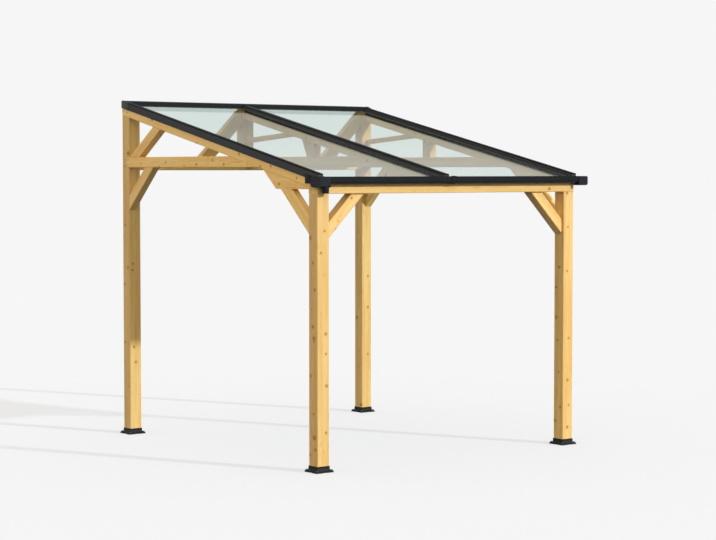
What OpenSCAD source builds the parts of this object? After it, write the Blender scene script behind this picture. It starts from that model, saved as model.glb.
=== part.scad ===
// Lean-to carport: a timber frame with a glass roof that falls away from a house wall.
// Four square posts on cast shoes carry a front beam and a rear beam. Three sloping frames
// stand across them; each has a rafter, a level tie and its own small struts. Two glass
// panes lie on the rafters under metal glazing bars, and a gutter catches the low edge.
// X runs along the wall, Y runs towards the wall, Z is up. The origin is on the floor,
// at the middle of the whole footprint.

/* [Overall] */
// width over the outer faces of the posts, mm
frame_width = 2760; // [1800:10:3600]
// depth from the front faces of the front posts to the back faces of the rear posts, mm
frame_depth = 3000; // [2200:10:3800]
// floor to the underside of the front beam, mm
eaves_clear = 2210; // [1800:1:2500]
// floor to the top of the wall profile at the high edge, mm
high_top = 3026; // [2800:1:3700]
// distance of the middle frame from the middle of the width, to the left if below zero, mm
middle_shift = -80; // [-300:5:300]

/* [Timber] */
// side of a square post, mm
post_side = 115; // [80:1:140]
// width of the planed edge along every timber, mm
planed_edge = 4; // [1:1:8]
// height of the front beam and of the rear beam, mm
beam_height = 90; // [70:1:140]
// thickness of rafters, ties, saddles and side braces across the frame, mm
rib_thick = 70; // [45:1:80]
// depth of a rafter, square to its slope, mm
rafter_depth = 86; // [75:1:120]
// drop of the notch that seats a rafter on the front beam, mm
rafter_notch = 60; // [20:1:75]
// height of a level tie, mm
tie_height = 94; // [60:1:130]
// floor to the underside of a tie, mm
tie_under = 2420; // [2350:1:2700]
// length of tie let into the side of a rear post, mm
tie_housing = 40; // [20:1:60]
// drop from the underside of a tie to the underside of the rear beam, mm
rear_beam_drop = 24; // [0:1:60]

/* [Braces] */
// width of a side knee brace, square to its length, mm
brace_width = 100; // [60:1:120]
// drop from the timber above to the low end of a front knee brace, mm
front_knee_drop = 356; // [250:1:500]
// drop from the timber above to the low end of a rear knee brace, mm
rear_knee_drop = 382; // [250:1:500]
// angle of a side knee brace above the level, degrees
knee_angle = 42.5; // [35:0.5:55]
// width of a brace under the front beam, square to its length, mm
front_brace_width = 90; // [60:1:120]
// thickness of a brace under the front beam, mm
front_brace_thick = 95; // [60:1:110]
// drop from the front beam to the low end of its braces, mm
front_brace_drop = 367; // [250:1:500]
// height of the saddles' flat underside above the underside of the front beam, mm
saddle_lift = 35; // [20:1:60]
// length of a saddle's flat underside, behind the front beam, mm
saddle_flat = 451; // [430:1:700]
// gap between the pointed top of a saddle and the front end of the tie behind it, mm
saddle_gap = 75; // [20:1:150]
// width of the brace between the left tie and its rafter, mm
rafter_brace_width = 94; // [60:1:110]
// angle of the brace between the left tie and its rafter, degrees
rafter_brace_angle = 33.5; // [28:0.5:45]
// distance from the rear post to the heel of that brace, along the tie, mm
rafter_brace_heel = 9; // [0:1:80]
// width of the braces on the rear beam, square to their length, mm
wall_brace_width = 114; // [60:1:130]
// height of a wall brace's upper edge above the rafters, measured at the upright, mm
wall_brace_over = 27; // [0:1:140]
// depth and thickness of a collar, mm
collar_depth = 44; // [30:1:70]
collar_thick = 45; // [30:1:60]
// height of a collar's low end above the tie, mm
collar_lift = 134; // [90:1:200]
// angle of a collar above the level, degrees
collar_angle = 4; // [0:0.5:8]
// depth of a strut along the tie, mm
strut_depth = 112; // [60:1:140]
// distance from the front faces of the rear posts to the middle of a strut, mm
strut_distance = 945; // [800:1:1300]
// how much nearer to the front the middle strut stands, mm
middle_strut_forward = 100; // [0:5:200]
// how far the head of the middle strut spreads back under the collar, mm
strut_splay = 76; // [0:1:110]

/* [Roof] */
// thickness of a glass pane, mm
glass_thick = 8; // [5:1:16]
// overhang of the glass past the front faces of the posts, mm
glass_overhang = 26; // [5:1:40]
// length of glass held in the slot of the wall profile, mm
glass_held = 16; // [5:1:24]
// gap between the two panes, and from a pane to the outer face of a post, mm
pane_gap = 12; // [6:1:24]
// width of a glazing bar and of an edge profile, mm
bar_width = 60; // [45:1:90]
// height of the middle glazing bar above the glass, mm
bar_rise = 25; // [16:1:45]
// height of an edge profile above the glass, mm
edge_rise = 30; // [16:1:40]
// height and thickness of the outer skirt of an edge profile, mm
skirt_height = 58; // [45:1:90]
skirt_thick = 6; // [3:1:12]
// distance the skirt stops short of the front faces of the posts, mm
skirt_setback = 160; // [105:1:400]
// wall of the hollow metal sections, mm
section_wall = 2.5; // [1.5:0.5:4]
// depth of the wall profile, front to back, mm
wall_profile_depth = 60; // [40:1:100]

/* [Gutter] */
// width of the gutter, front to back, mm
gutter_width = 66; // [50:1:120]
// height of the gutter, mm
gutter_height = 60; // [50:1:110]
// height of the gutter's rim above the low ends of the rafters, mm
gutter_rim = 18; // [5:1:24]
// radius of the roll along the gutter's lip, mm
lip_radius = 10; // [5:1:14]
// thickness of the gutter wall, mm
gutter_wall = 3; // [2:0.5:5]
// reach of the gutter end past the post, at the left and at the right, mm
left_reach = 22; // [12:1:120]
right_reach = 104; // [40:1:160]
// length of gutter that the left hopper covers, and the drop of its floor, mm
hopper_length = 104; // [80:1:160]
hopper_drop = 26; // [15:1:60]
// wall of the moulded hopper and of the moulded end cap, mm
moulded_wall = 4; // [2:0.5:8]
// outer diameter and length of the outlet under the hopper, mm
outlet_diameter = 56; // [40:1:60]
outlet_length = 48; // [25:1:120]

/* [Shoes] */
// height of a post shoe, mm
shoe_height = 36; // [30:1:90]
// side of the flange of a post shoe, mm
shoe_side = 172; // [140:1:220]
// thickness of the flange, mm
flange_thick = 12; // [5:1:15]
// wall of the socket that holds the foot of a post, and its depth, mm
socket_wall = 3; // [3:1:8]
socket_depth = 14; // [8:1:30]
// distance between two bolt holes in a flange, mm
bolt_pitch = 140; // [110:1:180]
// diameter of a bolt hole in a flange, mm
bolt_hole = 11; // [8:1:14]
// radius of the lobe round a bolt hole, mm
lobe_radius = 18; // [12:1:24]
// diameter of the flat seat for a washer round a bolt hole, mm
washer_seat = 24; // [18:1:30]

/* [Hidden] */
$fn = 48;
// the bearing gap between pieces that lie on one another
seat = 0.2;
// how far a cutting solid runs past what it cuts
past = 5;

// how far the footprint reaches past the posts' faces on its four sides
shoe_reach = bolt_pitch / 2 + lobe_radius - post_side / 2;
front_reach = gutter_width + moulded_wall;
footprint_left = max(left_reach, shoe_reach);
footprint_right = max(right_reach, shoe_reach);

// the posts' faces in plan
left_face = (footprint_left - footprint_right - frame_width) / 2;
right_face = left_face + frame_width;
mid_x = left_face + frame_width / 2;
king_x = mid_x + middle_shift;
front_y = (front_reach - shoe_reach - frame_depth) / 2;
back_y = front_y + frame_depth;
front_back = front_y + post_side;
rear_face = back_y - post_side;
mid_rib = king_x - rib_thick / 2;
right_rib = right_face - rib_thick;

// the roof plane: the slope brings the glass up to the foot of the wall profile
beam_top = eaves_clear + beam_height;
wall_nose = 52;
low_under = beam_top - rafter_notch;
slope_run = frame_depth - wall_profile_depth;
slope_angle = atan((high_top - wall_nose - glass_thick - rafter_depth - low_under) / slope_run);
slope = tan(slope_angle);
rafter_rise = rafter_depth / cos(slope_angle);
glass_rise = (glass_thick + 2 * seat) / cos(slope_angle);

// levels and places that several timbers share
tie_top = tie_under + tie_height;
rear_beam_under = tie_under - rear_beam_drop;
rear_beam_top = rear_beam_under + beam_height;
saddle_under = eaves_clear + saddle_lift;
saddle_length = (tie_under - low_under) / slope - post_side - saddle_gap;
long = frame_depth;

// the gutter's box, and the outer faces of its hopper and its end cap
gutter_front = front_y - gutter_width;
gutter_under = low_under + rafter_rise + gutter_rim - gutter_height;
hopper_x = left_face - left_reach;
end_cap_x = right_face + right_reach;
outlet_x = hopper_x + hopper_length - outlet_diameter / 2 - 1;
outlet_y = gutter_front + outlet_diameter / 2;
lip_y = gutter_front + lip_radius;

// heights square to the roof, from the top of the rafters
pane_top = glass_thick + 2 * seat;
edge_top = pane_top + edge_rise;
bar_top = pane_top + bar_rise;

timber = [0.93, 0.74, 0.42];
metal = [0.16, 0.17, 0.19];
dark = [0.09, 0.09, 0.10];
glass_tint = [0.75, 0.86, 0.85, 0.5];

// heights of the underside and of the top of a rafter above the floor, at any y
function under_at(y) = low_under + slope * (y - front_y);
function top_at(y) = under_at(y) + rafter_rise;

// ---- helpers -------------------------------------------------------------------------

// what is drawn on the left side, copied to the right side of the frame
module other_side() {
    translate([2 * mid_x, 0, 0])
        mirror([1, 0, 0])
            children();
}

// a prism that runs along x, drawn from the side as y and z
module side_prism(x0, x1) {
    translate([x0, 0, 0])
        rotate([90, 0, 90])
            linear_extrude(x1 - x0)
                children();
}

// a bar that lies along the roof: drawn as x and as height square to the roof, measured
// from the top of the rafters, with its ends cut plumb at y0 and y1
module roof_bar(y0, y1) {
    reach = 60;
    intersection() {
        translate([0, y0 - reach, top_at(y0 - reach)])
            rotate([slope_angle, 0, 0])
                translate([0, (y1 - y0 + 2 * reach) / cos(slope_angle), 0])
                    rotate([90, 0, 0])
                        linear_extrude((y1 - y0 + 2 * reach) / cos(slope_angle))
                            children();
        translate([-frame_width, y0, 0])
            cube([2 * frame_width, y1 - y0, 2 * high_top]);
    }
}

// the section of a timber: a rectangle with its four edges planed off
module planed(wide, deep) {
    e = planed_edge;
    polygon([[e, 0], [wide - e, 0], [wide, e], [wide, deep - e],
        [wide - e, deep], [e, deep], [0, deep - e], [0, e]]);
}

// a timber that runs back from (y, z) at an angle, its underside on that line
module side_bar(x, y, z, angle, before, after, thick, deep) {
    translate([x, y, z])
        rotate([angle, 0, 0])
            translate([0, after, 0])
                rotate([90, 0, 0])
                    linear_extrude(before + after)
                        planed(thick, deep);
}

// a timber that runs to the right from (x, z) at an angle, its underside on that line
module front_bar(x, y, z, angle, before, after, thick, deep) {
    translate([x, y, z])
        rotate([0, -angle, 0])
            translate([-before, 0, 0])
                rotate([90, 0, 90])
                    linear_extrude(before + after)
                        planed(thick, deep);
}

// the room from y0 to y1 and from z0 to z1, as wide as one rib
module side_room(x, y0, y1, z0, z1) {
    translate([x - past, y0, z0])
        cube([rib_thick + 2 * past, y1 - y0, z1 - z0]);
}

// all that lies above the underside of the rafters, or a gap below it
module over_rafters(x, gap) {
    side_prism(x - past, x + post_side + past)
        polygon([[front_y - past, under_at(front_y - past) - gap],
            [back_y + past, under_at(back_y + past) - gap],
            [back_y + past, high_top + long], [front_y - past, high_top + long]]);
}

// ---- shoes and posts -----------------------------------------------------------------

// cast shoe: lobed flange, hollow flare and a socket that holds the foot of the post
module shoe(x, y) {
    neck = post_side + 2 * socket_wall;
    flare = (shoe_side - neck) / 2 - 2;
    color(dark)
        translate([x, y, 0])
            difference() {
                union() {
                    linear_extrude(flange_thick)
                        flange_outline();
                    translate([-neck / 2, -neck / 2, 0])
                        cube([neck, neck, shoe_height + socket_depth]);
                    flared_skirt(neck / 2, flare);
                }
                translate([-post_side / 2 - seat, -post_side / 2 - seat, shoe_height])
                    cube([post_side + 2 * seat, post_side + 2 * seat, socket_depth + past]);
                for (sx = [-1, 1], sy = [-1, 1])
                    translate([sx * bolt_pitch / 2, sy * bolt_pitch / 2, -past]) {
                        cylinder(d = bolt_hole, h = flange_thick + 2 * past);
                        translate([0, 0, flange_thick + past])
                            cylinder(d = washer_seat, h = shoe_height);
                    }
            }
}

// the flange in plan: a square with waists between the four bolt lobes
module flange_outline() {
    waist = shoe_side * 0.12;
    difference() {
        union() {
            square([bolt_pitch, shoe_side], center = true);
            square([shoe_side, bolt_pitch], center = true);
            for (sx = [-1, 1], sy = [-1, 1])
                translate([sx * bolt_pitch / 2, sy * bolt_pitch / 2])
                    circle(r = lobe_radius);
        }
        for (a = [0:90:270])
            rotate([0, 0, a])
                translate([shoe_side / 2 + waist * 2.2, 0])
                    circle(r = waist * 2.5);
    }
}

// the flare: a square block hollowed by a round on each of its four sides
module flared_skirt(neck_half, flare) {
    difference() {
        translate([-neck_half - flare, -neck_half - flare, flange_thick - seat])
            cube([2 * (neck_half + flare), 2 * (neck_half + flare), flare + seat]);
        for (a = [0:90:270])
            rotate([0, 0, a])
                translate([neck_half + flare, 0, flange_thick + flare])
                    rotate([90, 0, 0])
                        cylinder(r = flare, h = 2 * shoe_side, center = true);
    }
}

module front_left_shoe() shoe(left_face + post_side / 2, front_y + post_side / 2);
module front_right_shoe() shoe(right_face - post_side / 2, front_y + post_side / 2);
module rear_left_shoe() shoe(left_face + post_side / 2, back_y - post_side / 2);
module rear_right_shoe() shoe(right_face - post_side / 2, back_y - post_side / 2);

// a planed square timber that stands upright
module upright(x, y, z0, z1) {
    translate([x, y, z0])
        linear_extrude(z1 - z0)
            planed(post_side, post_side);
}

// front posts stop under the front beam
module front_left_post() color(timber) upright(left_face, front_y, shoe_height, eaves_clear);
module front_right_post() other_side() front_left_post();

// rear posts run up past the rafter: the outer part is cut down to carry it, the inner
// cheek stands beside it, and the tie is let into the outer front corner
module rear_left_post() {
    color(timber)
        difference() {
            upright(left_face, rear_face, shoe_height, high_top);
            over_rafters(left_face - post_side - past + rib_thick, seat);
            side_prism(left_face - past, left_face + post_side + past)
                polygon([[rear_face - past, top_at(rear_face - past)],
                    [back_y + past, top_at(back_y + past)],
                    [back_y + past, high_top + long], [rear_face - past, high_top + long]]);
            translate([left_face - past, rear_face - past, tie_under])
                cube([rib_thick + past, tie_housing + past, tie_height]);
        }
}

module rear_right_post() other_side() rear_left_post();

// ---- beams and king post -------------------------------------------------------------

// front beam lies on the two front posts
module front_beam() {
    color(timber)
        front_bar(left_face, front_y, eaves_clear, 0, 0, frame_width, post_side, beam_height);
}

// rear beam is held between the two rear posts
module rear_beam() {
    color(timber)
        front_bar(left_face + post_side, rear_face, rear_beam_under, 0, 0,
            frame_width - 2 * post_side, post_side, beam_height);
}

// short post on the rear beam, with a slot in its head for the middle rafter
module middle_king_post() {
    color(timber)
        difference() {
            upright(king_x - post_side / 2, rear_face, rear_beam_top, high_top);
            side_prism(king_x - post_side, king_x + post_side)
                polygon([[rear_face - past, top_at(rear_face - past)],
                    [back_y + past, top_at(back_y + past)],
                    [back_y + past, high_top + long], [rear_face - past, high_top + long]]);
            side_prism(mid_rib, mid_rib + rib_thick)
                polygon([[rear_face - past, under_at(rear_face - past) - seat],
                    [back_y + past, under_at(back_y + past) - seat],
                    [back_y + past, high_top + long], [rear_face - past, high_top + long]]);
        }
}

// ---- the three sloping frames --------------------------------------------------------

// rafter: planed, cut plumb at both ends and notched over the front beam
module rafter(x) {
    color(timber)
        difference() {
            side_bar(x, front_y, low_under, slope_angle, long / 4, long * 1.2,
                rib_thick, rafter_depth);
            side_room(x, front_y - long, front_y, 0, 2 * high_top);
            side_room(x, back_y, back_y + long, 0, 2 * high_top);
            side_room(x, front_y - past, front_back, eaves_clear, beam_top);
        }
}

module left_rafter() rafter(left_face);
module middle_rafter() rafter(mid_rib);
module right_rafter() rafter(right_rib);

// level tie: its front end is cut to the slope of the rafter above it
module tie(x, back) {
    color(timber)
        difference() {
            side_bar(x, front_back, tie_under, 0, 0, back - front_back, rib_thick, tie_height);
            over_rafters(x, seat);
        }
}

module left_tie() tie(left_face, rear_face + tie_housing);
module middle_tie() tie(mid_rib, rear_face);
module right_tie() tie(right_rib, rear_face + tie_housing);

// wedge under the low end of a rafter, behind the front beam
module saddle(x) {
    color(timber)
        side_prism(x, x + rib_thick)
            polygon([[front_back, saddle_under], [front_back + saddle_flat, saddle_under],
                [front_back + saddle_length, under_at(front_back + saddle_length) - seat],
                [front_back, under_at(front_back) - seat]]);
}

module left_saddle() saddle(left_face);
module middle_saddle() saddle(mid_rib);
module right_saddle() saddle(right_rib);

// brace from the back of a front post up to the saddle
module front_knee(x) {
    color(timber)
        intersection() {
            side_bar(x, front_back, saddle_under - front_knee_drop, knee_angle,
                long / 4, long / 4, rib_thick, brace_width);
            side_room(x, front_back, front_back + long, 0, saddle_under);
        }
}

module left_front_knee() front_knee(left_face);
module right_front_knee() front_knee(right_rib);

// brace from the front of a rear post up to the tie
module rear_knee(x) {
    color(timber)
        intersection() {
            translate([0, 2 * rear_face, 0])
                mirror([0, 1, 0])
                    side_bar(x, rear_face, tie_under - rear_knee_drop, knee_angle,
                        long / 4, long / 4, rib_thick, brace_width);
            side_room(x, rear_face - long, rear_face, 0, tie_under);
        }
}

module left_rear_knee() rear_knee(left_face);
module right_rear_knee() rear_knee(right_rib);

// brace that leans forward from the left tie up to its rafter
module left_rafter_brace() {
    heel = rear_face - rafter_brace_heel - rafter_brace_width / sin(rafter_brace_angle);
    color(timber)
        difference() {
            translate([0, 2 * heel, 0])
                mirror([0, 1, 0])
                    side_bar(left_face, heel, tie_top, rafter_brace_angle,
                        long / 6, long / 3, rib_thick, rafter_brace_width);
            over_rafters(left_face, seat);
            side_room(left_face, heel - long, heel + long, 0, tie_top);
        }
}

// slim collar from the face of a rear upright forward to the rafter
module collar(x) {
    low = tie_top + collar_lift;
    color(timber)
        difference() {
            translate([0, 2 * rear_face, 0])
                mirror([0, 1, 0])
                    side_bar(x, rear_face, low, collar_angle, post_side, long / 2,
                        collar_thick, collar_depth);
            side_room(x, rear_face, rear_face + long, 0, 2 * high_top);
            over_rafters(x, seat);
        }
}

module middle_collar() collar(king_x - collar_thick / 2);
module right_collar() collar(right_face - (rib_thick + collar_thick) / 2);

// upright strut from the tie to the rafter; its head may spread back under the collar
module strut(x, forward, splay) {
    y0 = rear_face - strut_distance - forward - strut_depth / 2;
    y1 = y0 + strut_depth;
    color(timber)
        side_prism(x, x + rib_thick)
            polygon([[y0, tie_top], [y1, tie_top], [y1 + splay, under_at(y1 + splay) - seat],
                [y0, under_at(y0) - seat]]);
}

module middle_strut() strut(mid_rib, middle_strut_forward, strut_splay);
module right_strut() strut(right_rib, 0, 0);

// ---- braces in the front and in the rear plane ---------------------------------------

// brace from the inner face of a front post up to the front beam, flush with their backs
module front_left_brace() {
    inner = left_face + post_side;
    color(timber)
        intersection() {
            front_bar(inner, front_back - front_brace_thick,
                eaves_clear - front_brace_drop, 45, long / 4, long / 4,
                front_brace_thick, front_brace_width);
            translate([inner, front_y - past, 0])
                cube([long, post_side + 2 * past, eaves_clear]);
        }
}

module front_right_brace() other_side() front_left_brace();

// brace that rises from the rear beam to the left face of an upright; its head is cut
// level, just under the roof
module wall_brace(face) {
    head = top_at(rear_face) - planed_edge;
    upper = top_at(rear_face) + wall_brace_over;
    color(timber)
        intersection() {
            front_bar(face, rear_face + (post_side - rib_thick) / 2,
                upper - wall_brace_width / cos(45), 45, long, long / 4,
                rib_thick, wall_brace_width);
            translate([face - long, rear_face, rear_beam_top])
                cube([long, post_side, head - rear_beam_top]);
        }
}

module middle_wall_brace() wall_brace(king_x - post_side / 2);
module right_wall_brace() wall_brace(right_face - post_side);

// ---- glass and roof profiles ---------------------------------------------------------

// a glass pane, held in the slot of the wall profile
module pane(x0, x1) {
    color(glass_tint)
        roof_bar(front_y - glass_overhang, back_y - wall_profile_depth + glass_held)
            translate([x0, seat])
                square([x1 - x0, glass_thick]);
}

module left_glass() pane(left_face + pane_gap, king_x - pane_gap / 2);
module right_glass() pane(king_x + pane_gap / 2, right_face - pane_gap);

// section of a hollow cap with rounded shoulders, from x0 to x1 and from h0 to h1
module hollow_cap(x0, x1, h0, h1, shoulder) {
    difference() {
        union() {
            translate([x0, h0])
                square([x1 - x0, h1 - h0 - shoulder]);
            translate([x0 + shoulder, h0])
                square([x1 - x0 - 2 * shoulder, h1 - h0]);
            for (x = [x0 + shoulder, x1 - shoulder])
                translate([x, h1 - shoulder])
                    circle(r = shoulder);
        }
        translate([x0 + section_wall, h0 + section_wall])
            square([x1 - x0 - 2 * section_wall, h1 - h0 - shoulder - section_wall]);
    }
}

// glazing bar: a foot between the panes, two bedding lips and a hollow cap
module middle_glazing_bar() {
    groove = 6;
    color(metal)
        translate([king_x, 0, 0])
            union() {
                roof_bar(front_y, back_y - wall_profile_depth - seat)
                    translate([-pane_gap / 2 + 1, seat])
                        square([pane_gap - 2, pane_top]);
                roof_bar(front_y - glass_overhang + past, back_y - wall_profile_depth - seat)
                    difference() {
                        hollow_cap(-bar_width / 2, bar_width / 2, pane_top, bar_top, 6);
                        translate([-groove / 2, bar_top - 1])
                            square([groove, 2]);
                    }
            }
}

// edge profile: a stepped hollow cap over the edge of the pane, and a skirt that hangs
// down the outer face of the rafter
module left_edge_profile() {
    outer = left_face - skirt_thick;
    ledge = 14;
    cap_end = back_y - wall_profile_depth - seat;
    color(metal)
        union() {
            roof_bar(front_y - glass_overhang + past, cap_end)
                union() {
                    hollow_cap(outer, outer + bar_width - ledge, pane_top, edge_top, 4);
                    translate([outer + bar_width - ledge - section_wall, pane_top])
                        square([ledge + section_wall, edge_rise / 2]);
                }
            roof_bar(front_y + skirt_setback, back_y)
                union() {
                    translate([outer, edge_top - skirt_height])
                        square([skirt_thick - seat, skirt_height - 4]);
                    translate([outer, seat])
                        square([skirt_thick + pane_gap - 1, pane_top]);
                }
            roof_bar(cap_end - 1, back_y)
                translate([outer, seat])
                    square([skirt_thick + pane_gap - 1, edge_top - seat]);
        }
}

module right_edge_profile() other_side() left_edge_profile();

// wall profile: a hollow extrusion with a slot for the glass, a rounded nose and a sloping
// top that sheds water away from the wall
module wall_profile() {
    y0 = back_y - wall_profile_depth;
    slot_y = y0 + glass_held + 1;
    nose = 5;
    fall = 6;
    slot_top = glass_rise + 1;
    color(metal)
        side_prism(left_face + pane_gap, right_face - pane_gap)
            difference() {
                union() {
                    polygon([[y0, top_at(y0) + slot_top], [slot_y, top_at(slot_y) + slot_top],
                        [slot_y, top_at(slot_y) + seat], [back_y, top_at(back_y) + seat],
                        [back_y, high_top], [y0 + nose, high_top - fall],
                        [y0, high_top - fall - nose]]);
                    translate([y0 + nose, high_top - fall - nose])
                        circle(r = nose);
                }
                polygon([[slot_y + section_wall, top_at(slot_y) + slot_top + section_wall],
                    [back_y - section_wall, top_at(back_y) + slot_top + section_wall],
                    [back_y - section_wall, high_top - fall - section_wall],
                    [slot_y + section_wall, high_top - fall - section_wall]]);
            }
}

// ---- gutter --------------------------------------------------------------------------

// the gutter's outline from the side, grown or shrunk by an amount; the front foot is round
module gutter_outline(grow) {
    foot = 22;
    w = gutter_width;
    h = gutter_height;
    translate([gutter_front, gutter_under])
        union() {
            translate([foot, -grow])
                square([w - foot + grow, h + 2 * grow]);
            translate([-grow, foot])
                square([foot + grow, h - foot + grow]);
            translate([foot, foot])
                circle(r = foot + grow);
        }
}

// a box as wide as the building, used to cut the gutter pieces
module gutter_room(y0, y1, z0, z1) {
    translate([hopper_x - past, y0, z0])
        cube([end_cap_x - hopper_x + 2 * past, y1 - y0, z1 - z0]);
}

// open gutter on the front face of the beam, with a roll along its lip
module gutter() {
    x0 = hopper_x + moulded_wall + 1;
    x1 = end_cap_x - moulded_wall - 1;
    top = gutter_under + gutter_height;
    back_wall = 26;
    color(metal)
        difference() {
            side_prism(x0, x1)
                union() {
                    difference() {
                        gutter_outline(0);
                        gutter_outline(-gutter_wall);
                        translate([lip_y, top - gutter_wall - 1])
                            square([gutter_width, gutter_wall + past]);
                        translate([front_y - gutter_wall - 1, gutter_under + back_wall])
                            square([gutter_wall + past, gutter_height]);
                    }
                    translate([lip_y, top - lip_radius])
                        circle(r = lip_radius);
                }
            translate([outlet_x, outlet_y, gutter_under - past])
                cylinder(d = outlet_diameter - 4 * moulded_wall, h = gutter_height / 2);
        }
}

// room for the roof over the gutter: above the rafters inside the frame, and above the
// glass outside it
module roof_over_gutter() {
    roof_room(left_face + past, -seat);
    roof_room(left_face - skirt_thick - 1, glass_rise - seat);
}

// from x to the same distance on the other side, all that lies over the rafters' tops
module roof_room(x, over) {
    y0 = gutter_front + 2 * lip_radius;
    side_prism(x, 2 * mid_x - x)
        polygon([[y0, top_at(y0) + over], [front_back, top_at(front_back) + over],
            [front_back, high_top], [y0, high_top]]);
}

// hopper: a moulded box round the left end of the gutter, with a cheek that covers the
// end of the front beam; its lower corners are round
module gutter_left_cap() {
    low = gutter_under - hopper_drop;
    top = gutter_under + gutter_height;
    cheek = 62;
    corner = 26;
    beam_end = left_face - seat;
    color(dark)
        difference() {
            union() {
                side_prism(hopper_x, hopper_x + hopper_length)
                    hopper_outline(front_y - seat, low, top, corner / 2);
                side_prism(hopper_x, beam_end)
                    hopper_outline(front_y + cheek, low, top, corner);
            }
            side_prism(hopper_x + moulded_wall, hopper_x + hopper_length + past)
                gutter_outline(seat);
            side_prism(hopper_x + moulded_wall, hopper_x + hopper_length - moulded_wall)
                translate([gutter_front + moulded_wall, low + moulded_wall])
                    square([gutter_width - 2 * moulded_wall, hopper_drop + moulded_wall]);
            gutter_room(gutter_front + 2 * lip_radius, front_y - seat - moulded_wall,
                top - lip_radius, top + past);
            translate([outlet_x, outlet_y, low - past])
                cylinder(d = outlet_diameter - 2 * moulded_wall, h = moulded_wall + 2 * past);
            roof_over_gutter();
        }
}

// side outline of the hopper, from the front of the gutter back to y1
module hopper_outline(y1, z0, z1, corner) {
    y0 = gutter_front - moulded_wall;
    union() {
        translate([y0, z0 + corner])
            square([y1 - y0, z1 - z0 - corner]);
        translate([y0 + corner, z0])
            square([y1 - y0 - 2 * corner, z1 - z0]);
        for (y = [y0 + corner, y1 - corner])
            translate([y, z0 + corner])
                circle(r = corner);
    }
}

// moulded stop end: it slides over the right end of the gutter, past the beam; its outer
// corners are round as seen from the front
module gutter_right_cap() {
    low = gutter_under - hopper_drop + 6;
    top = gutter_under + gutter_height;
    corner = 18;
    x0 = right_face + seat;
    y0 = gutter_front - moulded_wall;
    color(dark)
        difference() {
            intersection() {
                side_prism(x0, end_cap_x)
                    hopper_outline(front_y + moulded_wall, low, top, corner / 2);
                translate([0, front_y + 2 * moulded_wall, 0])
                    rotate([90, 0, 0])
                        linear_extrude(front_y + 2 * moulded_wall - y0 + past)
                            union() {
                                translate([x0, low])
                                    square([end_cap_x - x0 - corner, top - low]);
                                translate([x0, low + corner])
                                    square([end_cap_x - x0, top - low - 2 * corner]);
                                for (z = [low + corner, top - corner])
                                    translate([end_cap_x - corner, z])
                                        circle(r = corner);
                            }
            }
            side_prism(x0 - past, end_cap_x - moulded_wall)
                gutter_outline(seat);
            roof_over_gutter();
        }
}

// sleeve round the joint between two lengths of gutter
module gutter_joint() {
    sleeve = 46;
    proud = 4;
    joint_shift = 25;
    x0 = king_x + joint_shift;
    color(metal)
        difference() {
            side_prism(x0, x0 + sleeve)
                gutter_outline(proud);
            side_prism(x0 - past, x0 + sleeve + past)
                gutter_outline(seat);
            gutter_room(gutter_front + lip_radius, front_y + past,
                gutter_under + gutter_height - lip_radius, high_top);
            gutter_room(front_y - seat, front_y + post_side, gutter_under - past, high_top);
        }
}

// outlet: a flanged spout under the hopper, turned about its own axis
module gutter_outlet() {
    r = outlet_diameter / 2;
    low = gutter_under - hopper_drop;
    rim = 3;
    color(dark)
        translate([outlet_x, outlet_y, low - outlet_length])
            rotate_extrude()
                polygon([[r - moulded_wall, 0], [r - 1, 0], [r, outlet_length * 0.5],
                    [r, outlet_length - 2 * rim], [r + rim, outlet_length - rim],
                    [r + rim, outlet_length - seat], [r - moulded_wall, outlet_length - seat]]);
}

front_left_shoe();
front_right_shoe();
rear_left_shoe();
rear_right_shoe();
front_left_post();
front_right_post();
rear_left_post();
rear_right_post();
front_beam();
rear_beam();
middle_king_post();
left_rafter();
middle_rafter();
right_rafter();
left_tie();
middle_tie();
right_tie();
left_saddle();
middle_saddle();
right_saddle();
left_front_knee();
right_front_knee();
left_rear_knee();
right_rear_knee();
left_rafter_brace();
front_left_brace();
front_right_brace();
middle_wall_brace();
right_wall_brace();
middle_collar();
right_collar();
middle_strut();
right_strut();
left_glass();
right_glass();
left_edge_profile();
middle_glazing_bar();
right_edge_profile();
wall_profile();
gutter();
gutter_left_cap();
gutter_right_cap();
gutter_joint();
gutter_outlet();
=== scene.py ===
import math
import random

import bmesh
import bpy
from mathutils import Matrix, Vector


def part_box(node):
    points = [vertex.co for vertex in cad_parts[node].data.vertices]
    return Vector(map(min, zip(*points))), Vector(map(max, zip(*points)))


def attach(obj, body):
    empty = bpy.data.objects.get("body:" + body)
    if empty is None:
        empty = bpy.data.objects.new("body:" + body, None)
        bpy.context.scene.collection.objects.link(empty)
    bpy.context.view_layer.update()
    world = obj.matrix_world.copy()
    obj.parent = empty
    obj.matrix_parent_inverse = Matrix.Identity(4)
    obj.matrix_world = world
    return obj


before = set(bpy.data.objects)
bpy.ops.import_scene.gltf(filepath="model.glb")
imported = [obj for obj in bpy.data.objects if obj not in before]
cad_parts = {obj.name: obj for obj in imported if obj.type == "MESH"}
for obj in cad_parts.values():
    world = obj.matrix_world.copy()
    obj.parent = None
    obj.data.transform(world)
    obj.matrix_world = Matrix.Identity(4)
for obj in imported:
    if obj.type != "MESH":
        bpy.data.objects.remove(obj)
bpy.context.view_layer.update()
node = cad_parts

# ---- the place it stands ---------------------------------------------------------------
# A pale studio: one floor that runs out to a pale horizon, low sun from the front right
# and an even fill from all round. The camera stands well off the front left corner, a
# little above the eaves.
CAMERA_PLACE = (-10.4248, -13.8553, 2.392)
CAMERA_TILT, CAMERA_HEADING = math.radians(87.08), math.radians(-37.25)
SUN_FROM = Vector((0.40, -0.82, 0.395))
LENS = 97.89
SUN_STRONG, SUN_COLOUR = 2.66, (0.94, 1.0, 1.03)
FILL_STRONG, FILL_COLOUR = 1.12, (1.0, 0.94, 0.838, 1)
PALE = (0.922, 0.922, 0.922, 1)
FLOOR_WIDE = 240
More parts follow.
